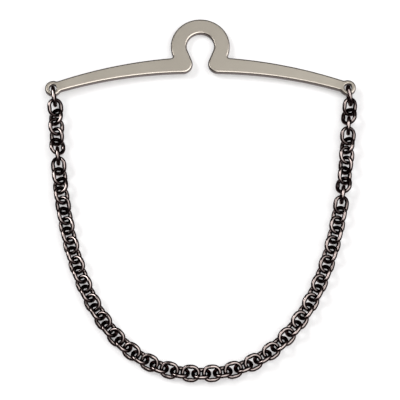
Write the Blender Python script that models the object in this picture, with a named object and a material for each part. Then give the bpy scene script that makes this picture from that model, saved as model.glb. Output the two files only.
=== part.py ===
"""Tie chain: a flat bar with a keyhole button loop, and a cable chain hung in a U between its two lugs.

The piece lies on its back. X runs along the bar, Y from the bottom of the chain towards the button
loop, and Z up from the surface that it lies on. Lengths are in metres and angles in degrees.
"""

import math

import bmesh
import bpy
import numpy as np
from mathutils import Matrix, Vector

# Bar: one stamped plate, with a button loop in the middle and a lug at each end
BAR_LENGTH = 0.066
PLATE_THICKNESS = 0.00122
EDGE_CHAMFER = 0.00019
ARM_RISE = 0.00538
ARM_WIDTH = 0.00383
LUG_RIM = 0.0009
LUG_SHOULDER = 0.00053
LUG_FILLET = 0.00085
LOOP_RISE = 0.00979
LOOP_HOLE_DIAMETER = 0.00585
LOOP_BAND = 0.00341
LOOP_FILLET = 0.00043
NECK_GAP = 0.0033
NECK_CORNER = 0.00213

# Chain: round wire links, each with one straight stretch at its ends and along its sides
WIRE_DIAMETER = 0.00089
TIP_FLAT = 0.00032
NEIGHBOUR_GAP = 0.0002
SIDE_LINKS = 24
LOWER_PAIRS = 5

# Play between a link and what it holds
LINK_PLAY = 0.00019
RIM_PLAY = 0.00014
HOLE_PLAY = 0.00027

# How the chain lies: the slant of its end links to the right, the squareness of the U below them, how far
# its sides draw in and how soon, and the lean of its links. A link lies flat at 0 and stands on edge at 90,
# and at plus it has its inner side up. The first links of each side twist over. Below them odd and even
# links lean by turns, and all of them turn a little from the sides of the U to its bottom
END_SLANT = 8
U_SQUARENESS = 2.25
U_DRAW_IN = 0.00069
DRAW_IN_POWER = 0.65
LEFT_LEANS = (90, -28, 36, -30, 34, -30, 88, 26)
RIGHT_LEANS = (90, 32, -32, 85, 22, -42, 26, -40, 36, -27, 90, 26)
ODD_LEAN = -32
EVEN_LEAN = 32
BOTTOM_TURN = -14

# Facets
ARC_STEP = 14.0
ARM_STEPS = 10
HOLE_SIDES = 18
CORNER_STEPS = 3
WIRE_SIDES = 6
CURVE_SAMPLES = 4000
SOLVE_STEPS = 60
BAR_SHARP_ANGLE = 25.0
LINK_SHARP_ANGLE = 75.0

# Finish
BAR_COLOUR = (0.45, 0.41, 0.35, 1.0)
BAR_ROUGHNESS = 0.28
CHAIN_COLOUR = (0.24, 0.22, 0.205, 1.0)
CHAIN_ROUGHNESS = 0.18

# A link's opening takes the lug's rim across, and the wires of two neighbours along
WIRE_RADIUS = WIRE_DIAMETER / 2
OPENING_WIDTH = 2 * (math.hypot(LUG_RIM, PLATE_THICKNESS) / 2 + RIM_PLAY)
OPENING_LENGTH = 2 * (WIRE_DIAMETER + LINK_PLAY) + NEIGHBOUR_GAP
PITCH = OPENING_LENGTH - LINK_PLAY
LINK_HALF_WIDTH = (OPENING_WIDTH + WIRE_DIAMETER) / 2
LINK_HALF_LENGTH = (OPENING_LENGTH + WIRE_DIAMETER) / 2

# An end link turns on the middle of the lug's rim, and is longer, so that the next link clears the rim
END_OPENING_LENGTH = OPENING_WIDTH + WIRE_DIAMETER + LINK_PLAY
END_HALF_LENGTH = (END_OPENING_LENGTH + WIRE_DIAMETER) / 2
END_MIDDLE = (END_OPENING_LENGTH - OPENING_WIDTH) / 2
END_REACH = END_MIDDLE + (END_OPENING_LENGTH - LINK_PLAY) / 2

# The lug's hole takes the end link's wire
LUG_HOLE_DIAMETER = OPENING_WIDTH / 2 + WIRE_DIAMETER - LUG_RIM / 2 + HOLE_PLAY
LUG_RADIUS = LUG_HOLE_DIAMETER / 2 + LUG_RIM
LUG_X = BAR_LENGTH / 2 - LUG_RADIUS
LUG_Y = (LUG_RIM + LUG_HOLE_DIAMETER) / 2

# Links on one side, from the lug to the link in the middle of the bottom
HALF_LINKS = SIDE_LINKS + 2 * LOWER_PAIRS


def solve(function, low, high):
    """The place between low and high where a rising function passes zero, by halving."""
    for _ in range(SOLVE_STEPS):
        middle = (low + high) / 2
        if function(middle) < 0:
            low = middle
        else:
            high = middle
    return (low + high) / 2


def arc(centre, radius, start, end):
    """Points on an arc from one direction to another, in radians, both ends included."""
    steps = max(2, math.ceil(abs(end - start) / math.radians(ARC_STEP)))
    turn = np.linspace(start, end, steps + 1)
    return np.array(centre) + radius * np.column_stack((np.cos(turn), np.sin(turn)))


def heading(start, end):
    """The direction from one point to another, in radians."""
    return math.atan2(end[1] - start[1], end[0] - start[0])


class Arm:
    """One arm of the bar: a tapered band on an arc from the middle of the bar to the lug."""

    def __init__(self):
        self.radius = (LUG_X**2 + ARM_RISE**2) / (2 * ARM_RISE)
        self.centre_y = LUG_Y + ARM_RISE - self.radius
        self.lug_turn = math.asin(LUG_X / self.radius)

    def half_width(self, turn):
        share = turn / self.lug_turn
        return (1 - share) * ARM_WIDTH / 2 + share * (LUG_RADIUS - LUG_SHOULDER)

    def point(self, turn, offset):
        """The point at a turn from the middle of the bar, offset outwards from the arc."""
        reach = self.radius + offset
        return np.array((reach * math.sin(turn), self.centre_y + reach * math.cos(turn)))

    def edge(self, start, end, side):
        turns = np.linspace(start, end, ARM_STEPS + 1)
        return np.array([self.point(turn, side * self.half_width(turn)) for turn in turns])

    def fillet(self, radius, centre, reach, side, low, high):
        """A fillet that touches an edge of the arm and a circle: its turn and its centre.

        The distance to the circle's centre must grow from the turn low to the turn high."""

        def place(turn):
            return self.point(turn, side * (self.half_width(turn) + radius))

        def apart(turn):
            return np.linalg.norm(place(turn) - centre) - reach - radius

        turn = solve(apart, low, high)
        return turn, place(turn)


def fillet_arc(centre, radius, start, end):
    """The arc of a fillet from one touching point to the other, the short way round."""
    first = heading(centre, start)
    sweep = math.remainder(heading(centre, end) - first, math.tau)
    return arc(centre, radius, first, first + sweep)


def towards(start, end, distance):
    return start + (end - start) * distance / np.linalg.norm(end - start)


def neck_corner_radius(drop, hole_radius):
    """The neck's corner radius, kept below the one at which the corner would touch the loop's hole."""
    reach = 2 * drop + 2 * hole_radius - NECK_GAP
    rest = NECK_GAP**2 / 4 + drop**2 - hole_radius**2
    limit = (reach - math.sqrt(reach**2 - 4 * rest)) / 2
    return min(NECK_CORNER, limit - EDGE_CHAMFER)


def half_outline():
    """The right half of the bar's outline, from the top of the loop's hole round to the loop's top."""
    arm = Arm()
    loop = np.array((0.0, LUG_Y + LOOP_RISE))
    hole_radius = LOOP_HOLE_DIAMETER / 2
    loop_radius = hole_radius + LOOP_BAND
    lug = np.array((LUG_X, LUG_Y))
    up = math.pi / 2

    # The neck's rounded corner stands on the arm's lower edge, beside the gap
    corner_radius = neck_corner_radius(loop[1] - arm.point(0, -arm.half_width(0))[1], hole_radius)

    def corner_centre(turn):
        return arm.point(turn, corner_radius - arm.half_width(turn))

    def past_gap(turn):
        return corner_centre(turn)[0] - NECK_GAP / 2 - corner_radius

    corner_turn = solve(past_gap, 0, arm.lug_turn)
    corner = corner_centre(corner_turn)

    # The straight line that touches the hole on one side and the corner on the other
    across = heading(loop, corner)
    lean = math.acos((hole_radius + corner_radius) / np.linalg.norm(corner - loop))
    touch = across + lean

    low_turn, low_centre = arm.fillet(LUG_FILLET, lug, LUG_RADIUS, -1, arm.lug_turn, 0)
    high_turn, high_centre = arm.fillet(LUG_FILLET, lug, LUG_RADIUS, 1, arm.lug_turn, 0)
    loop_turn, loop_centre = arm.fillet(LOOP_FILLET, loop, loop_radius, 1, 0, arm.lug_turn)
    lower = arm.edge(corner_turn, low_turn, -1)
    upper = arm.edge(high_turn, loop_turn, 1)
    lug_start = heading(lug, low_centre)
    lug_end = heading(lug, high_centre) % math.tau
    loop_start = heading(loop, loop_centre)
    stretches = (
        arc(loop, hole_radius, up, touch),
        arc(corner, corner_radius, touch + math.pi, heading(corner, lower[0]) + math.tau),
        lower[1:],
        fillet_arc(low_centre, LUG_FILLET, lower[-1], towards(lug, low_centre, LUG_RADIUS))[1:],
        arc(lug, LUG_RADIUS, lug_start, lug_end)[1:],
        fillet_arc(high_centre, LUG_FILLET, towards(lug, high_centre, LUG_RADIUS), upper[0])[1:],
        upper[1:],
        fillet_arc(loop_centre, LOOP_FILLET, upper[-1], towards(loop, loop_centre, loop_radius))[1:],
        arc(loop, loop_radius, loop_start, up)[1:],
    )
    return np.concatenate(stretches)


def bar_outline():
    """The bar's whole outline, anticlockwise seen from above."""
    right = half_outline()
    left = right[-2:0:-1] * (-1, 1)
    return np.concatenate((right, left))


def lug_hole(side):
    """The outline of the hole in one lug, clockwise, so that the plate lies on its left."""
    turn = -np.arange(HOLE_SIDES) * math.tau / HOLE_SIDES
    circle = np.column_stack((np.cos(turn), np.sin(turn))) * LUG_HOLE_DIAMETER / 2
    return circle + (side * LUG_X, LUG_Y)


def inset(outline, distance):
    """An outline moved into the plate, which lies on its left."""
    along = np.roll(outline, -1, axis=0) - np.roll(outline, 1, axis=0)
    along /= np.linalg.norm(along, axis=1)[:, None]
    return outline + distance * np.column_stack((-along[:, 1], along[:, 0]))


def bar_mesh():
    """The plate: its chamfered edges as strips round each outline, and its faces filled between them."""
    mesh = bmesh.new()
    half = PLATE_THICKNESS / 2
    profile = (
        (EDGE_CHAMFER, -half),
        (0.0, EDGE_CHAMFER - half),
        (0.0, half - EDGE_CHAMFER),
        (EDGE_CHAMFER, half),
    )
    caps = ([], [])
    for outline in (bar_outline(), lug_hole(-1), lug_hole(1)):
        count = len(outline)
        rows = []
        for distance, height in profile:
            rows.append([mesh.verts.new((x, y, height)) for x, y in inset(outline, distance)])
        for low, high in zip(rows, rows[1:]):
            for i in range(count):
                after = (i + 1) % count
                mesh.faces.new((low[i], low[after], high[after], high[i]))
        for cap, row in zip(caps, (rows[0], rows[-1])):
            cap.extend(mesh.edges.get((row[i], row[i - 1])) for i in range(count))
    for cap in caps:
        bmesh.ops.triangle_fill(mesh, use_beauty=True, edges=cap)
    return finished_mesh(mesh, "bar", BAR_SHARP_ANGLE)


def finished_mesh(mesh, name, sharp_angle):
    bmesh.ops.recalc_face_normals(mesh, faces=mesh.faces)
    data = bpy.data.meshes.new(name)
    mesh.to_mesh(data)
    mesh.free()
    data.shade_smooth()
    data.set_sharp_from_angle(angle=math.radians(sharp_angle))
    return data


def wire_line(half_length):
    """A link's wire line round its opening, and the outward direction at each of its points.

    The line is a rectangle with round corners, and begins at the corner before the far tip."""
    corner = min(half_length, LINK_HALF_WIDTH) - TIP_FLAT / 2
    points, outward = [], []
    for number, (along, across) in enumerate(((1, -1), (1, 1), (-1, 1), (-1, -1))):
        centre = np.array((along * (half_length - corner), across * (LINK_HALF_WIDTH - corner)))
        turns = (number - 1) * math.pi / 2 + np.linspace(0, math.pi / 2, CORNER_STEPS + 1)
        directions = np.column_stack((np.cos(turns), np.sin(turns)))
        points.append(centre + corner * directions)
        outward.append(directions)
    return np.concatenate(points), np.concatenate(outward)


def add_ring(mesh, matrix, middle=PITCH / 2, half_length=LINK_HALF_LENGTH):
    """Adds one link, its middle this far along X, and returns the inner faces of its near and far tips."""
    points, outward = wire_line(half_length)
    points = points + (middle, 0)
    turns = (np.arange(WIRE_SIDES) + 0.5) * math.tau / WIRE_SIDES
    rows = []
    for point, direction in zip(points, outward):
        row = []
        for turn in turns:
            flat = point + WIRE_RADIUS * math.cos(turn) * direction
            row.append(mesh.verts.new(matrix @ Vector((*flat, WIRE_RADIUS * math.sin(turn)))))
        rows.append(row)
    faces = []
    for i, row in enumerate(rows):
        after = rows[(i + 1) % len(rows)]
        for j in range(WIRE_SIDES):
            k = (j + 1) % WIRE_SIDES
            faces.append(mesh.faces.new((row[j], after[j], after[k], row[k])))
    inner = WIRE_SIDES // 2 - 1
    far_tip = CORNER_STEPS
    near_tip = 3 * CORNER_STEPS + 2
    return faces[near_tip * WIRE_SIDES + inner], faces[far_tip * WIRE_SIDES + inner]


def link_mesh(name, *size):
    mesh = bmesh.new()
    add_ring(mesh, Matrix.Identity(4), *size)
    return finished_mesh(mesh, name, LINK_SHARP_ANGLE)


def pair_mesh(name, second):
    """Two neighbouring links, soldered where they touch. second places the lower one on the upper one."""
    mesh = bmesh.new()
    _, far = add_ring(mesh, Matrix.Identity(4))
    near, _ = add_ring(mesh, second)
    solder = list(far.edges) + list(near.edges)
    bmesh.ops.delete(mesh, geom=[far, near], context="FACES_ONLY")
    bmesh.ops.bridge_loops(mesh, edges=solder)
    return finished_mesh(mesh, name, LINK_SHARP_ANGLE)


def lean(number, first_leans):
    """A link's lean about the chain, in degrees, by its number from the lug."""
    if number <= len(first_leans):
        return first_leans[number - 1]
    return (ODD_LEAN if number % 2 else EVEN_LEAN) + BOTTOM_TURN * number / HALF_LINKS


def standing_height(number):
    """How high a link's middle must be for it to lie clear of the surface, on the higher side."""
    leans = [math.radians(lean(number, first_leans)) for first_leans in (LEFT_LEANS, RIGHT_LEANS)]
    return WIRE_RADIUS + LINK_HALF_WIDTH * max(abs(math.sin(turn)) for turn in leans)


def u_quarter(depth):
    """The right half of the chain's U, from its end link to its lowest point, and the length so far.

    It is a quarter of a superellipse, drawn in by half a sine wave of a power of the depth."""
    turn = np.linspace(0, math.pi / 2, CURVE_SAMPLES)
    power = 2 / U_SQUARENESS
    drop = np.sin(turn) ** power
    out = LUG_X * np.cos(turn).clip(0) ** power - U_DRAW_IN * np.sin(math.pi * drop**DRAW_IN_POWER)
    points = np.column_stack((out, -depth * drop))
    steps = np.linalg.norm(np.diff(points, axis=0), axis=1)
    return points, np.concatenate(((0.0,), np.cumsum(steps)))


def contacts(side):
    """The points where each link of one side meets the next, from the lug's rim downwards.

    The end link slants about the lug's middle. The U below it hangs as deep as the links reach, moved to
    the right at its top and less so towards its bottom. Each point is as high as its two links need."""
    places = np.arange(HALF_LINKS) * PITCH
    half_length = places[-1] + PITCH / 2

    def too_long(depth):
        return u_quarter(depth)[1][-1] - half_length

    points, length = u_quarter(solve(too_long, 0, half_length))
    out = np.interp(places, length, points[:, 0])
    down = np.interp(places, length, points[:, 1])
    slant = math.radians(END_SLANT)
    reach = LUG_Y + END_REACH
    across = side * out + reach * math.sin(slant) * (1 - down / down[-1])
    rim = (side * LUG_X + LUG_Y * math.sin(slant), LUG_Y * (1 - math.cos(slant)))
    flat = np.column_stack((across, LUG_Y - reach * math.cos(slant) + down))
    numbers = range(HALF_LINKS + 1)
    heights = [max(standing_height(max(1, n)), standing_height(n + 1)) for n in numbers]
    return np.column_stack((np.concatenate(((rim,), flat)), heights))


def link_matrix(near, far, side, degrees):
    """Where a link lies: its origin at near, X along the chain, and Y across its opening."""
    along = (Vector(far) - Vector(near)).normalized()
    inward = Vector((side * along.y, -side * along.x, 0)).normalized()
    up = -side * along.cross(inward)
    turn = math.radians(degrees)
    across = math.cos(turn) * inward + math.sin(turn) * up
    columns = Matrix((along, across, along.cross(across))).transposed()
    return Matrix.Translation(near) @ columns.to_4x4()


def metal(name, colour, roughness):
    material = bpy.data.materials.new(name)
    material.use_nodes = True
    shader = material.node_tree.nodes["Principled BSDF"]
    shader.inputs["Base Color"].default_value = colour
    shader.inputs["Roughness"].default_value = roughness
    shader.inputs["Metallic"].default_value = 1.0
    return material


def add_piece(name, data, material, parent, matrix, parent_matrix):
    """Adds a piece at a place in the world, carried by its parent."""
    if not data.materials:
        data.materials.append(material)
    piece = bpy.data.objects.new(name, data)
    bpy.context.scene.collection.objects.link(piece)
    piece.parent = parent
    piece.matrix_local = parent_matrix.inverted() @ matrix
    return piece


def bar_matrix(lug_height):
    """The bar, turned on the lugs' rims so that the far edge of its loop comes down to the surface."""
    reach = LUG_Y + LOOP_RISE + LOOP_HOLE_DIAMETER / 2 + LOOP_BAND - EDGE_CHAMFER
    tilt = math.asin((lug_height - PLATE_THICKNESS / 2) / reach)
    return Matrix.Translation((0, 0, lug_height)) @ Matrix.Rotation(-tilt, 4, "X")


def side_places(side, first_leans):
    """The place of each link of one side, by its number from the lug, and of the middle link after it."""
    path = [*contacts(side), contacts(-side)[-1]]
    numbers = range(1, HALF_LINKS + 2)
    return {n: link_matrix(path[n - 1], path[n], side, lean(n, first_leans)) for n in numbers}


def add_side(name, places, meshes, material, bar, bar_place):
    """Hangs one side of the chain: single links from the lug, then soldered pairs. Returns the last."""
    parent, parent_matrix = bar, bar_place
    for number in range(1, SIDE_LINKS + 1):
        data = meshes["end_link" if number == 1 else "link"]
        matrix = places[number]
        parent = add_piece(f"{name}_link_{number:02d}", data, material, parent, matrix, parent_matrix)
        parent_matrix = matrix
    for pair in range(1, LOWER_PAIRS + 1):
        number = SIDE_LINKS + 2 * pair - 1
        matrix = places[number]
        piece_name = f"{name}_lower_pair_{pair}"
        data = pair_mesh(piece_name, matrix.inverted() @ places[number + 1])
        parent = add_piece(piece_name, data, material, parent, matrix, parent_matrix)
        parent_matrix = matrix
    return parent


def centre_on_surface(root):
    """Moves the whole piece so that the middle of its box stands over the origin, on the surface."""
    bpy.context.view_layer.update()
    corners = []
    for piece in bpy.context.scene.objects:
        flat = np.empty(3 * len(piece.data.vertices))
        piece.data.vertices.foreach_get("co", flat)
        world = np.array(piece.matrix_world)
        corners.append(flat.reshape(-1, 3) @ world[:3, :3].T + world[:3, 3])
    low = np.min([points.min(axis=0) for points in corners], axis=0)
    high = np.max([points.max(axis=0) for points in corners], axis=0)
    middle = (low + high) / 2
    root.location -= Vector((middle[0], middle[1], low[2]))
    bpy.context.view_layer.update()


def build():
    for old in list(bpy.data.objects):
        bpy.data.objects.remove(old)
    bar_metal = metal("bar_metal", BAR_COLOUR, BAR_ROUGHNESS)
    chain_metal = metal("chain_metal", CHAIN_COLOUR, CHAIN_ROUGHNESS)

    stand = bar_matrix(contacts(1)[0][2])
    bar = add_piece("button_loop_bar", bar_mesh(), bar_metal, None, stand, Matrix.Identity(4))
    meshes = {"link": link_mesh("link"), "end_link": link_mesh("end_link", END_MIDDLE, END_HALF_LENGTH)}
    left = side_places(-1, LEFT_LEANS)
    right = side_places(1, RIGHT_LEANS)
    last = add_side("left", left, meshes, chain_metal, bar, stand)
    add_side("right", right, meshes, chain_metal, bar, stand)
    number = HALF_LINKS + 1
    add_piece("middle_link", meshes["link"], chain_metal, last, left[number], left[number - 2])
    centre_on_surface(bar)


build()
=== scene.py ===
"""Dresses the tie chain: a satin plate with burnished edges and painted highlights and shade, and dark wire
links with painted highlights and shade, on a white table.

Lengths are in metres, in the frame of the solids. Leans and the plate's tilt are in degrees, and other
angles in radians.
"""

import math

import bmesh
import bpy
import numpy as np
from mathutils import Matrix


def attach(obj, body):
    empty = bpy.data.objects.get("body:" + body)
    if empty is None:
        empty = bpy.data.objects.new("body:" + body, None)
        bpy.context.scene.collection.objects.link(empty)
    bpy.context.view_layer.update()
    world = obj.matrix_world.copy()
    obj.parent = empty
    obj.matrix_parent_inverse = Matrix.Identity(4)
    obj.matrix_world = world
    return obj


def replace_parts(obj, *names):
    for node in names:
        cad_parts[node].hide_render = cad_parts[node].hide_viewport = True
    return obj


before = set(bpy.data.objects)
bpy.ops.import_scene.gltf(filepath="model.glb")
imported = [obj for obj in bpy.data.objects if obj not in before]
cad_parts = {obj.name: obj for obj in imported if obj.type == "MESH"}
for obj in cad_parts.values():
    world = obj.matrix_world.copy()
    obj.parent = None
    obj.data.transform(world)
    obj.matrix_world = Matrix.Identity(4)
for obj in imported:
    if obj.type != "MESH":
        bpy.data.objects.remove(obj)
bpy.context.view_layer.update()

# The middle of the line through the two lugs' rims, on which the plate tilts and the chain hangs
RIM = np.array((-0.00012391, 0.02201671, 0.00178659))
PLATE_TILT = 3.92976

# Plate: its lugs, its arms, its button loop and the neck below that, and the steps of its outline
LUG_X = 0.031296
LUG_Y = 0.001254
LUG_RADIUS = 0.001704
LUG_HOLE_RADIUS = 0.000804
LUG_SHOULDER = 0.00053
LUG_FILLET = 0.00085
HALF_THICKNESS = 0.00061
EDGE_ROUND = 0.0004
HOLE_ROUND = 0.0002
ARM_RISE = 0.00538
ARM_WIDTH = 0.00383
LOOP_RISE = 0.00979
LOOP_Y = LUG_Y + LOOP_RISE
LOOP_HOLE_RADIUS = 0.002925
LOOP_RADIUS = 0.006335
LOOP_FILLET = 0.00043
NECK_HALF_GAP = 0.00165
NECK_CORNER = 0.00213
OUTLINE_STEP = math.radians(4)
ARM_STEPS = 48
HOLE_STEPS = 72
EDGE_STEPS = 8

# Wire of the links: a swelling at the seam, and wear where links bear on one another, as shares of its radius
WIRE_RADIUS = 0.000445
SEAM_SWELL = 0.05
SEAM_REACH = 0.00027
BEARING_WEAR = 0.23
LINK_STEPS = 56
WIRE_STEPS = 16

# Chain: its links, the U that it hangs in, and the lean of each side's first links and of those below them
LINK_HALF_WIDTH = 0.001343
LINK_HALF_LENGTH = 0.001625
END_HALF_LENGTH = 0.001883
END_MIDDLE = 0.00054
END_REACH = 0.001883
PITCH = 0.00217
HALF_LINKS = 34
SIDE_LINKS = 24
END_SLANT = math.radians(8)
U_DEPTH = 0.0578952
U_SQUARENESS = 2.25
U_DRAW_IN = 0.00069
DRAW_IN_POWER = 0.65
LEFT_LEANS = (90, -28, 36, -30, 34, -30, 88, 26)
RIGHT_LEANS = (90, 32, -32, 85, 22, -42, 26, -40, 36, -27, 90, 26)
ODD_LEAN = -32
EVEN_LEAN = 32
BOTTOM_LEAN = -14
PATH_SAMPLES = 4000
SOLVE_STEPS = 60
TONE_SEED = 7

# Plate's finish: colours, among them a painted highlight on the rounded edges and painted shade round the lug
# holes and on walls that face the back or the left, then scales of its marks, how strongly each tells, and
# roughness
SATIN = ((0.415, 0.386, 0.328, 1), (0.460, 0.428, 0.368, 1))
# Burnished edge colour, bright enough to be a painted highlight as well
BURNISHED_HIGHLIGHT = (0.95, 0.86, 0.77, 1)
# Colour of the painted shade round the lug holes
LUG_SHADE = (0.28, 0.254, 0.214, 1)
WALL = (0.18, 0.15, 0.145, 1)
# Colour of the painted shade on walls and rounded edges that face the back or the left
BACK_EDGE_SHADE = (0.03, 0.022, 0.02, 1)
RUB_STRETCH = (0.12, 1, 1)
RUB_SCALE = 5200
PLATE_CLOUD_SCALE = 160
BURNISH_HIGHLIGHT_SHARE = 0.55
LUG_SHADE_SHARE = 0.4
LUG_SHADE_REACH = 2 * LUG_RADIUS
WALL_POWER = 2
BACK_SHADE_CREEP = 1.7
SATIN_ROUGHNESS = 0.34
RUB_ROUGHNESS = 0.06
PLATE_CLOUD_ROUGHNESS = 0.04
BURNISH_GLOSS = 0.12
RUB_DEPTH = 0.000004
RUB_STRENGTH = 0.25

# Wire's finish: colours of painted highlights and of a black that is partly painted shade, then how far a
# surface must face up or aside for a painted highlight, scales and roughness
# Painted highlight colours; the black is the wire's own dark tone and painted shade on its flanks
PAINTED_HIGHLIGHTS = ((0.35, 0.298, 0.280, 1), (0.52, 0.445, 0.418, 1))
BLACKENED_AND_SHADED = ((0.018, 0.0125, 0.0125, 1), (0.043, 0.030, 0.030, 1))
EDGE_TINT = (0.20, 0.15, 0.15, 1)
CROWN_HIGHLIGHT_FROM = 0.86
SIDE_HIGHLIGHT_FROM = 0.6
SIDE_HIGHLIGHT_SHARE = 0.9
INNER_BLACKNESS = 0.45
PATCH_LEAST = 0.65
PATCH_SPREAD = 0.7
WIRE_CLOUD_SCALE = 700
FINE_SCALE = 9000
WIRE_ROUGHNESS = 0.08
WIRE_CLOUD_ROUGHNESS = 0.08
INNER_ROUGHNESS = 0.10
FINE_DEPTH = 0.000004
FINE_STRENGTH = 0.2

# Table, camera, room and lamps. A lamp has its place, its width, its height and its power
TABLE_HALF = 3.0
TABLE_WHITES = ((0.94, 0.94, 0.94, 1), (0.96, 0.96, 0.96, 1))
TABLE_GRAIN_SCALE = 900
TABLE_ROUGHNESS = 0.9
TABLE_GLOSS = 0.1
TABLE_GLOW = 0.33
CAMERA_ELEVATION = math.radians(74)
CAMERA_DISTANCE = 0.31936
CAMERA_TARGET = np.array((-0.000284, -0.00088, 0))
CAMERA_ROLL = math.radians(-0.15)
CAMERA_LENS = 137.47
SENSOR_WIDTH = 36
CAMERA_NEAR = 0.01
ROOM_STOPS = (
    (0.0, (0.034, 0.025, 0.025, 1)),
    (0.5, (0.065, 0.052, 0.052, 1)),
    (1.0, (0.30, 0.275, 0.275, 1)),
)
LAMPS = {
    "softbox": ((0.50, -0.12, 1.0), 1.5, 1.5, 15.0),
    "side_lamp": ((-0.76, 0.42, 0.86), 0.6, 0.5, 9.2),
}


def solve(function, low, high):
    """The place between low and high where a rising function passes zero, by halving."""
    for _ in range(SOLVE_STEPS):
        middle = (low + high) / 2
        low, high = (middle, high) if function(middle) < 0 else (low, middle)
    return (low + high) / 2


def arc(centre, radius, start, end):
    """A circle's points from one turn to another."""
    steps = max(3, math.ceil(abs(end - start) / OUTLINE_STEP))
    turn = np.linspace(start, end, steps + 1)
    return np.asarray(centre) + radius * np.column_stack((np.cos(turn), np.sin(turn)))


def turn_to(start, end):
    """The turn, from X, of the way from one point to another."""
    return math.atan2(end[1] - start[1], end[0] - start[0])


ARM_RADIUS = (LUG_X**2 + ARM_RISE**2) / (2 * ARM_RISE)
ARM_TURN = math.asin(LUG_X / ARM_RADIUS)


def arm_half_width(turn):
    """The arm tapers evenly with its turn, from the middle of the plate to the lug."""
    share = turn / ARM_TURN
    return (1 - share) * ARM_WIDTH / 2 + share * (LUG_RADIUS - LUG_SHOULDER)


def arm_point(turn, side, extra=0.0):
    """A point beside the arm's arc: its radius grows by the half width and extra, on side 1 or -1."""
    reach = ARM_RADIUS + side * (arm_half_width(turn) + extra)
    return np.array((reach * np.sin(turn), LUG_Y + ARM_RISE - ARM_RADIUS + reach * np.cos(turn)))


def arm_fillet(radius, centre, reach, side, low, high):
    """The turn and the centre of a fillet between an edge of the arm and a circle."""

    def apart(turn):
        return np.linalg.norm(arm_point(turn, side, radius) - centre) - reach - radius

    turn = solve(apart, low, high)
    return turn, arm_point(turn, side, radius)


def short_arc(centre, radius, start, end):
    """The arc from one point to another round a centre, the short way."""
    first = turn_to(centre, start)
    return arc(centre, radius, first, first + math.remainder(turn_to(centre, end) - first, math.tau))


def plate_outline():
    """The plate's outline, anticlockwise: arcs, lines and fillets on the right, and their mirror image."""
    loop = np.array((0.0, LOOP_Y))
    lug = np.array((LUG_X, LUG_Y))

    def beside_gap(turn):
        return arm_point(turn, -1, -NECK_CORNER)[0] - NECK_HALF_GAP - NECK_CORNER

    corner_turn = solve(beside_gap, 0, ARM_TURN)
    corner = arm_point(corner_turn, -1, -NECK_CORNER)
    aside = math.acos((LOOP_HOLE_RADIUS + NECK_CORNER) / np.linalg.norm(corner - loop))
    touch = turn_to(loop, corner) + aside
    low_turn, low_centre = arm_fillet(LUG_FILLET, lug, LUG_RADIUS, -1, ARM_TURN, 0)
    high_turn, high_centre = arm_fillet(LUG_FILLET, lug, LUG_RADIUS, 1, ARM_TURN, 0)
    loop_turn, loop_centre = arm_fillet(LOOP_FILLET, loop, LOOP_RADIUS, 1, 0, ARM_TURN)
    lower = arm_point(np.linspace(corner_turn, low_turn, ARM_STEPS), -1).T
    upper = arm_point(np.linspace(high_turn, loop_turn, ARM_STEPS), 1).T
    lug_arc = arc(lug, LUG_RADIUS, turn_to(lug, low_centre), turn_to(lug, high_centre) % math.tau)
    loop_arc = arc(loop, LOOP_RADIUS, turn_to(loop, loop_centre), math.pi / 2)
    corner_end = turn_to(corner, lower[0]) + math.tau
    right = np.concatenate(
        (
            arc(loop, LOOP_HOLE_RADIUS, math.pi / 2, touch),
            arc(corner, NECK_CORNER, touch + math.pi, corner_end)[:-1],
            lower,
            short_arc(low_centre, LUG_FILLET, lower[-1], lug_arc[0])[1:],
            lug_arc[1:],
            short_arc(high_centre, LUG_FILLET, lug_arc[-1], upper[0])[1:],
            upper[1:],
            short_arc(loop_centre, LOOP_FILLET, upper[-1], loop_arc[0])[1:],
            loop_arc[1:],
        )
    )
    return np.concatenate((right, right[-2:0:-1] * (-1, 1)))


def lug_hole(side):
    """The outline of a lug's hole, clockwise, so that the plate lies on its left."""
    turn = -np.arange(HOLE_STEPS) * math.tau / HOLE_STEPS
    return LUG_HOLE_RADIUS * np.column_stack((np.cos(turn), np.sin(turn))) + (side * LUG_X, LUG_Y)


def edge_strip(outline, rounding):
    """The rounded edge along an outline: points, their normals, how far each is on the edge and how far it
    faces the back or the left, as grids. How far an edge faces the back or the left sets where the plate's
    material paints shade on it.

    Across the edge the turn runs from -90 to 90 degrees: the inset is the rounding times 1 - cos, and the
    height the rounding times sin, moved out to the plate's faces on either side of a flat wall. An edge faces
    the back or the left by the larger of its outward direction's Y and -X, and by 0 if both are negative."""
    along = np.roll(outline, -1, axis=0) - np.roll(outline, 1, axis=0)
    along /= np.linalg.norm(along, axis=1)[:, None]
    outward = np.column_stack((along[:, 1], -along[:, 0]))
    quarter = np.linspace(0, math.pi / 2, EDGE_STEPS + 1)
    turn = np.concatenate((-quarter[::-1], quarter))
    wall = (HALF_THICKNESS - rounding) * np.repeat((-1, 1), EDGE_STEPS + 1)
    inset = rounding * (1 - np.cos(turn))
    height = wall + rounding * np.sin(turn)
    flat = outline[None] - inset[:, None, None] * outward[None]
    level = np.broadcast_to(height[:, None, None], flat.shape[:2] + (1,))
    lift = np.broadcast_to(np.sin(turn)[:, None, None], level.shape)
    points = np.concatenate((flat, level), axis=2)
    normals = np.concatenate((np.cos(turn)[:, None, None] * outward[None], lift), axis=2)
    rim = np.broadcast_to(np.cos(turn)[:, None], flat.shape[:2])
    facing = np.clip(np.maximum(-outward[:, 0], outward[:, 1]), 0, 1)
    away = np.broadcast_to(facing[None], flat.shape[:2])
    return points, normals, rim, away


def grid_quads(rows, columns, first=0, closed=False):
    """The corners of a grid's faces, row by row. Columns join up, and rows do too if closed."""
    row = np.arange(rows if closed else rows - 1)[:, None]
    column = np.arange(columns)[None]
    after_row = (row + 1) % rows
    after_column = (column + 1) % columns
    corners = (
        row * columns + column,
        row * columns + after_column,
        after_row * columns + after_column,
        after_row * columns + column,
    )
    return first + np.stack(corners, axis=-1).reshape(-1, 4)


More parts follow.
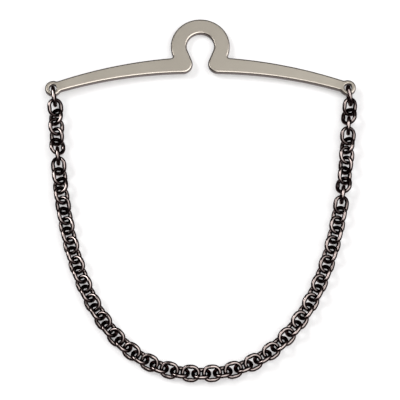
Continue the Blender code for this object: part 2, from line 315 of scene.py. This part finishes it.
def new_piece(name, points, faces, material, attributes):
    """An object from arrays of points and faces, shaded smooth, with one value per point for each name."""
    mesh = bpy.data.meshes.new(name)
    mesh.from_pydata(points, [], faces.tolist())
    for title, values in attributes.items():
        store = mesh.attributes.new(title, "FLOAT", "POINT")
        store.data.foreach_set("value", np.ascontiguousarray(values, np.float32))
    mesh.shade_smooth()
    mesh.materials.append(material)
    piece = bpy.data.objects.new(name, mesh)
    bpy.context.scene.collection.objects.link(piece)
    return piece


def tilt_plate(points):
    """Turns points or normals of the plate on the lugs' rims, the loop downwards."""
    turn = math.radians(-PLATE_TILT)
    spin = np.array(
        ((1, 0, 0), (0, math.cos(turn), -math.sin(turn)), (0, math.sin(turn), math.cos(turn)))
    )
    return points @ spin.T


def build_plate(material):
    """The plate: rounded strips round its outline and its lug holes, and flat faces filled between them."""
    points, normals, rims, aways, faces, ends = [], [], [], [], [], []
    first = 0
    edges = ((plate_outline(), EDGE_ROUND), (lug_hole(-1), HOLE_ROUND), (lug_hole(1), HOLE_ROUND))
    for outline, rounding in edges:
        grid, grid_normals, rim, away = edge_strip(outline, rounding)
        rows, columns = rim.shape
        points.append(grid.reshape(-1, 3))
        normals.append(grid_normals.reshape(-1, 3))
        rims.append(rim.ravel())
        aways.append(away.ravel())
        faces.append(grid_quads(rows, columns, first))
        ends.append((first, first + (rows - 1) * columns, columns))
        first += rows * columns
    points = tilt_plate(np.concatenate(points)) + RIM
    normals = tilt_plate(np.concatenate(normals))
    attributes = {"rim": np.concatenate(rims), "away": np.concatenate(aways)}
    piece = new_piece("loop_plate", points, np.concatenate(faces), material, attributes)
    shell = bmesh.new()
    shell.from_mesh(piece.data)
    shell.verts.ensure_lookup_table()
    for level in (0, 1):
        border = []
        for end in ends:
            loop = end[level] + np.arange(end[2])
            pairs = zip(loop, np.roll(loop, -1))
            border += [shell.edges.get((shell.verts[a], shell.verts[b])) for a, b in pairs]
        filled = bmesh.ops.triangle_fill(shell, use_beauty=True, edges=border)
        for item in filled["geom"]:
            if isinstance(item, bmesh.types.BMFace):
                item.smooth = True
    bmesh.ops.recalc_face_normals(shell, faces=shell.faces)
    shell.to_mesh(piece.data)
    shell.free()
    piece.data.normals_split_custom_set_from_vertices(normals)
    return piece


def link_surface(half_length, middle):
    """A link round its own opening: a circle of wire carried along a rounded line.

    The line is a half circle at each end and a straight side between, sampled evenly by length. The wire
    swells slightly at the soldered seam in one side. Where links that fold bear on one another it is worn:
    by half of 1 - cos of its section's turn, times the sine of twice the line's turn. Gives the points, the
    directions in which they stand off the line, and how far inside each is."""
    straight = half_length - LINK_HALF_WIDTH
    half_turn = math.pi * LINK_HALF_WIDTH
    knots = np.cumsum((0, half_turn, 2 * straight, half_turn, 2 * straight))
    place = np.arange(LINK_STEPS) / LINK_STEPS * knots[-1]
    turn = np.radians(np.interp(place, knots, (-90, 90, 90, 270, 270)))
    shift = np.interp(place, knots, (straight, straight, -straight, -straight, straight))
    outward = np.column_stack((np.cos(turn), np.sin(turn), np.zeros(LINK_STEPS)))
    line = LINK_HALF_WIDTH * outward + shift[:, None] * (1, 0, 0) + (middle, 0, 0)
    seam = half_turn + straight
    swell = 1 + SEAM_SWELL * np.exp(-(((place - seam) / SEAM_REACH) ** 2))
    section = np.arange(WIRE_STEPS) * math.tau / WIRE_STEPS
    ring = np.cos(section)[None, :, None] * outward[:, None] + np.sin(section)[None, :, None] * (0, 0, 1)
    inside = np.broadcast_to(0.5 - 0.5 * np.cos(section)[None], (LINK_STEPS, WIRE_STEPS))
    wear = BEARING_WEAR * inside * np.abs(np.sin(2 * turn))[:, None]
    radius = WIRE_RADIUS * swell[:, None] * (1 - wear)
    points = line[:, None] + radius[:, :, None] * ring
    return points.reshape(-1, 3), ring.reshape(-1, 3), inside.ravel()


def lean(number, first_leans):
    """A link's lean about the chain: 0 lies flat, 90 stands on edge, and plus has its inner side up."""
    if number <= len(first_leans):
        return first_leans[number - 1]
    return (ODD_LEAN if number % 2 else EVEN_LEAN) + BOTTOM_LEAN * number / HALF_LINKS


def standing_height(number):
    """The height at which a link clears the table, on the side where it needs more."""
    leans = np.radians([lean(number, LEFT_LEANS), lean(number, RIGHT_LEANS)])
    return WIRE_RADIUS + LINK_HALF_WIDTH * np.abs(np.sin(leans)).max()


def contacts(side):
    """The points of one side where links meet. The end link slants about the lug's middle. Below it they are
    even steps along a quarter of a superellipse, drawn in by half a sine wave of a power of its depth and
    moved along X, the most at its top."""
    turn = np.linspace(0, math.pi / 2, PATH_SAMPLES)
    power = 2 / U_SQUARENESS
    drop = np.sin(turn) ** power
    out = LUG_X * np.cos(turn).clip(0) ** power - U_DRAW_IN * np.sin(math.pi * drop**DRAW_IN_POWER)
    down = -U_DEPTH * drop
    length = np.concatenate(((0,), np.cumsum(np.hypot(np.diff(out), np.diff(down)))))
    places = np.arange(HALF_LINKS) * PITCH
    out = np.interp(places, length, out)
    down = np.interp(places, length, down)
    reach = LUG_Y + END_REACH
    across = side * out + reach * math.sin(END_SLANT) * (1 - down / down[-1])
    flat = np.column_stack((across, LUG_Y - reach * math.cos(END_SLANT) + down))
    rim = (side * LUG_X + LUG_Y * math.sin(END_SLANT), LUG_Y * (1 - math.cos(END_SLANT)))
    heights = [max(standing_height(max(1, n)), standing_height(n + 1)) for n in range(HALF_LINKS + 1)]
    lift = np.array(heights) - heights[0]
    return RIM + np.column_stack((np.concatenate(((rim,), flat)), lift))


def link_axes(near, far, side, degrees):
    """A link's own axes as rows: along the chain, across its opening, and square to both."""
    along = (far - near) / np.linalg.norm(far - near)
    inward = np.array((side * along[1], -side * along[0], 0))
    inward /= np.linalg.norm(inward)
    up = -side * np.cross(along, inward)
    turn = math.radians(degrees)
    across = math.cos(turn) * inward + math.sin(turn) * up
    return np.array((along, across, np.cross(along, across)))


def build_links(node, body, links, material, tones):
    """One piece that stands for a node of the chain, from its links' places. Each point keeps how far it
    faces up or down at rest, which places the wire's painted highlights and shade, and how far inside its
    link it is, and each link has a tone of its own."""
    points, uprights, insides, shades, faces = [], [], [], [], []
    for near, axes, size in links:
        surface, outward, inside = link_surface(*size)
        faces.append(grid_quads(LINK_STEPS, WIRE_STEPS, sum(map(len, points)), closed=True))
        points.append(surface @ axes + near)
        uprights.append(np.abs(outward @ axes[:, 2]))
        insides.append(inside)
        shades.append(np.full(len(inside), tones.random()))
    values = {
        "upright": np.concatenate(uprights),
        "inside": np.concatenate(insides),
        "tone": np.concatenate(shades),
    }
    piece = new_piece(f"{node}_wire", np.concatenate(points), np.concatenate(faces), material, values)
    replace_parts(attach(piece, body), node)


def build_chain(material):
    """All links: singles from each lug, pairs below them, and one in the middle."""
    tones = np.random.default_rng(TONE_SEED)
    plain = (LINK_HALF_LENGTH, PITCH / 2)
    end = (END_HALF_LENGTH, END_MIDDLE)
    for name, side, first_leans in (("left", -1, LEFT_LEANS), ("right", 1, RIGHT_LEANS)):
        path = np.concatenate((contacts(side), contacts(-side)[-1:]))
        links = {}
        for number in range(1, HALF_LINKS + 2):
            near, far = path[number - 1], path[number]
            axes = link_axes(near, far, side, lean(number, first_leans))
            links[number] = (near, axes, end if number == 1 else plain)
        for number in range(1, SIDE_LINKS + 1):
            node = f"{name}_link_{number:02d}"
            build_links(node, f"row_{number:02d}", [links[number]], material, tones)
        for number in range(SIDE_LINKS + 1, HALF_LINKS, 2):
            pair = (number - SIDE_LINKS + 1) // 2
            body = "bight" if number == HALF_LINKS - 1 else f"lower_row_{pair}"
            both = [links[number], links[number + 1]]
            build_links(f"{name}_lower_pair_{pair}", body, both, material, tones)
        if side == -1:
            build_links("middle_link", "bight", [links[HALF_LINKS + 1]], material, tones)


class Signal:
    """A socket of a shader. Sums on it add Math nodes."""

    def __init__(self, shader, socket):
        self.shader = shader
        self.socket = socket

    def maths(self, operation, first, second):
        return self.shader.node("ShaderNodeMath", {"operation": operation}, {0: first, 1: second})

    def __add__(self, other):
        return self.maths("ADD", self, other)

    def __sub__(self, other):
        return self.maths("SUBTRACT", self, other)

    def __rsub__(self, other):
        return self.maths("SUBTRACT", other, self)

    def __mul__(self, other):
        return self.maths("MULTIPLY", self, other)

    def __pow__(self, other):
        return self.maths("POWER", self, other)

    __radd__ = __add__
    __rmul__ = __mul__


class Shader:
    """The nodes of one material or of the world."""

    def __init__(self, owner):
        owner.use_nodes = True
        self.tree = owner.node_tree
        self.tree.nodes.clear()

    def node(self, kind, settings=None, inputs=None, output=0):
        """Adds a node, with its settings first and then its inputs' values or links, and gives one output."""
        node = self.tree.nodes.new(kind)
        for name, value in (settings or {}).items():
            if name == "stops":
                while len(node.color_ramp.elements) < len(value):
                    node.color_ramp.elements.new(0.5)
                for element, (place, colour) in zip(node.color_ramp.elements, value):
                    element.position = place
                    element.color = colour
            else:
                setattr(node, name, value)
        for name, value in (inputs or {}).items():
            if isinstance(value, Signal):
                self.tree.links.new(value.socket, node.inputs[name])
            else:
                node.inputs[name].default_value = value
        return Signal(self, node.outputs[output])

    def attribute(self, name):
        return self.node("ShaderNodeAttribute", {"attribute_name": name}, output="Fac")

    def coordinates(self):
        return self.node("ShaderNodeTexCoord", output="Object")

    def noise(self, vector, scale, detail):
        inputs = {"Vector": vector, "Scale": scale, "Detail": detail}
        return self.node("ShaderNodeTexNoise", {}, inputs, "Fac")

    def blend(self, factor, first, second):
        """Mixes two colours. A Mix node takes colours at its sockets 6 and 7, and gives one at output 2."""
        inputs = {"Factor": factor, 6: first, 7: second}
        return self.node("ShaderNodeMix", {"data_type": "RGBA"}, inputs, 2)

    def smooth_step(self, value, low, high):
        """Rises from 0 to 1 with no corners, while the value goes from low to high."""
        inputs = {"Value": value, "From Min": low, "From Max": high}
        return self.node("ShaderNodeMapRange", {"interpolation_type": "SMOOTHSTEP"}, inputs)

    def bump(self, height, distance, strength):
        inputs = {"Height": height, "Distance": distance, "Strength": strength}
        return self.node("ShaderNodeBump", {}, inputs)

    def surface(self, shader, kind="ShaderNodeOutputMaterial"):
        """Joins a shader to an output node."""
        end = self.tree.nodes.new(kind)
        self.tree.links.new(shader.socket, end.inputs["Surface"])


def satin_plate():
    """Warm silver plate: a satin face with fine rub marks, burnished where it rounds over and lightened there
    with a painted highlight, with painted shade round the lug holes, and dark on its walls, with painted
    shade on those that face the back or the left."""
    material = bpy.data.materials.new("satin_silver_plate")
    shader = Shader(material)
    place = shader.coordinates()
    stretch = shader.node("ShaderNodeMapping", {}, {"Vector": place, "Scale": RUB_STRETCH})
    rub = shader.noise(stretch, RUB_SCALE, detail=3)
    cloud = shader.noise(place, PLATE_CLOUD_SCALE, detail=2)
    rim = shader.attribute("rim")
    away = shader.attribute("away")
    burnish_and_highlight = 4 * rim * (1 - rim)
    middle = shader.node("ShaderNodeVectorMath", {"operation": "SUBTRACT"}, {0: place, 1: tuple(RIM)})
    both_sides = shader.node("ShaderNodeVectorMath", {"operation": "ABSOLUTE"}, {0: middle})
    lug = {0: both_sides, 1: (LUG_X, LUG_Y, 0)}
    from_lug = shader.node("ShaderNodeVectorMath", {"operation": "DISTANCE"}, lug, "Value")
    # Painted shade round the lug holes: the mask below is 1 at a hole's edge and 0 at twice the lug's radius
    # from its middle
    near_lug = {
        "Value": from_lug,
        "From Min": LUG_HOLE_RADIUS,
        "From Max": LUG_SHADE_REACH,
        "To Min": 1.0,
        "To Max": 0.0,
    }
    worn = shader.node("ShaderNodeMapRange", {}, near_lug)
    face = shader.blend(cloud, *SATIN)
    # Burnished edges, lightened into a painted highlight, left out where they face the back or the left
    edge = shader.blend(BURNISH_HIGHLIGHT_SHARE * burnish_and_highlight * (1 - away), face, BURNISHED_HIGHLIGHT)
    lugs = shader.blend(LUG_SHADE_SHARE * worn, edge, LUG_SHADE)
    # Painted shade: walls that face the back or the left are darker still
    wall = shader.blend(away, WALL, BACK_EDGE_SHADE)
    roughness = SATIN_ROUGHNESS + RUB_ROUGHNESS * rub + PLATE_CLOUD_ROUGHNESS * cloud
    inputs = {
        # The walls are darker, and on edges that face the back or the left the darkening creeps up the
        # rounding as painted shade
        "Base Color": shader.blend(rim ** (WALL_POWER - BACK_SHADE_CREEP * away), lugs, wall),
        "Metallic": 1.0,
        "Roughness": roughness - BURNISH_GLOSS * burnish_and_highlight,
        "Normal": shader.bump(rub, RUB_DEPTH, RUB_STRENGTH),
    }
    shader.surface(shader.node("ShaderNodeBsdfPrincipled", {}, inputs))
    return material


def wire_with_painted_highlights():
    """Blackened wire with painted highlights on the crowns of its links as they lie at rest and along their
    outer sides, and nearly black between them, which is painted shade, and on their inner sides, where
    polishing doesn't reach."""
    material = bpy.data.materials.new("dark_wire_painted_highlights")
    shader = Shader(material)
    place = shader.coordinates()
    cloud = shader.noise(place, WIRE_CLOUD_SCALE, detail=3)
    fine = shader.noise(place, FINE_SCALE, detail=2)
    inside = shader.attribute("inside")
    upright = shader.attribute("upright")
    # Painted highlights where a surface faces up or down at rest, or aside; painted shade, nearly black, on
    # the flanks between
    crown_highlight = shader.smooth_step(upright, CROWN_HIGHLIGHT_FROM, 1.0)
    side = shader.smooth_step(1 - upright, SIDE_HIGHLIGHT_FROM, 1.0)
    painted_highlight = crown_highlight * (1 - INNER_BLACKNESS * inside) + SIDE_HIGHLIGHT_SHARE * side * (1 - inside)
    bright = shader.blend(shader.attribute("tone"), *PAINTED_HIGHLIGHTS)
    black = shader.blend(cloud, *BLACKENED_AND_SHADED)
    inputs = {
        "Base Color": shader.blend(painted_highlight * (PATCH_LEAST + PATCH_SPREAD * cloud), black, bright),
        "Metallic": 1.0,
        "Roughness": WIRE_ROUGHNESS + WIRE_CLOUD_ROUGHNESS * cloud + INNER_ROUGHNESS * inside,
        "Specular Tint": EDGE_TINT,
        "Normal": shader.bump(fine, FINE_DEPTH, FINE_STRENGTH),
    }
    shader.surface(shader.node("ShaderNodeBsdfPrincipled", {}, inputs))
    return material


def white_table():
    """A white table that glows a little where it is seen, so that it is white and its shades are faint."""
    material = bpy.data.materials.new("white_table")
    shader = Shader(material)
    grain = shader.noise(shader.coordinates(), TABLE_GRAIN_SCALE, detail=2)
    colour = shader.blend(grain, *TABLE_WHITES)
    inputs = {"Base Color": colour, "Roughness": TABLE_ROUGHNESS, "Specular IOR Level": TABLE_GLOSS}
    matt = shader.node("ShaderNodeBsdfPrincipled", {}, inputs)
    white = shader.node("ShaderNodeEmission", {}, {"Color": (1, 1, 1, 1), "Strength": 1.0})
    rays = ("Is Camera Ray", "Is Glossy Ray", "Is Transmission Ray")
    seen = sum(shader.node("ShaderNodeLightPath", output=ray) for ray in rays)
    shader.surface(shader.node("ShaderNodeMixShader", {}, {0: TABLE_GLOW * seen, 1: matt, 2: white}))
    return material


def build_table():
    """One square of table, far larger than what is seen of it."""
    corners = TABLE_HALF * np.array(((-1, -1, 0), (1, -1, 0), (1, 1, 0), (-1, 1, 0)))
    table = new_piece("table", corners, np.array(((0, 1, 2, 3),)), white_table(), {})


def build_camera():
    """Looks down on the table from the front, at the photograph's angle, a hair out of level."""
    data = bpy.data.cameras.new("camera")
    data.lens = CAMERA_LENS
    data.sensor_width = SENSOR_WIDTH
    data.clip_start = CAMERA_NEAR
    camera = bpy.data.objects.new("camera", data)
    back = np.array((0, -math.cos(CAMERA_ELEVATION), math.sin(CAMERA_ELEVATION)))
    camera.location = CAMERA_TARGET + CAMERA_DISTANCE * back
    camera.rotation_mode = "ZYX"
    camera.rotation_euler = (math.pi / 2 - CAMERA_ELEVATION, 0, CAMERA_ROLL)
    bpy.context.scene.collection.objects.link(camera)
    bpy.context.scene.camera = camera


def build_world():
    """A dim room round the lamps: dark towards the horizon, and lighter straight up."""
    world = bpy.data.worlds.new("studio")
    bpy.context.scene.world = world
    shader = Shader(world)
    direction = shader.node("ShaderNodeTexCoord", output="Generated")
    up = shader.node("ShaderNodeSeparateXYZ", {}, {"Vector": direction}, "Z")
    room = shader.node("ShaderNodeValToRGB", {"stops": ROOM_STOPS}, {"Fac": up})
    background = shader.node("ShaderNodeBackground", {}, {"Color": room, "Strength": 1.0})
    shader.surface(background, "ShaderNodeOutputWorld")


def add_lamp(name, place, width, height, power):
    """A soft rectangular lamp that faces the middle of the table."""
    data = bpy.data.lights.new(name, "AREA")
    data.shape = "RECTANGLE"
    data.size = width
    data.size_y = height
    data.energy = power
    lamp = bpy.data.objects.new(name, data)
    lamp.location = place
    tip = math.acos(place[2] / np.linalg.norm(place))
    lamp.rotation_euler = (tip, 0, math.atan2(-place[1], -place[0]) - math.pi / 2)
    bpy.context.scene.collection.objects.link(lamp)


bpy.context.scene.view_settings.view_transform = "Standard"
plate = build_plate(satin_plate())
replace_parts(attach(plate, "bar"), "button_loop_bar")
build_chain(wire_with_painted_highlights())
build_table()
build_camera()
build_world()
for lamp_name, lamp in LAMPS.items():
    add_lamp(lamp_name, *lamp)
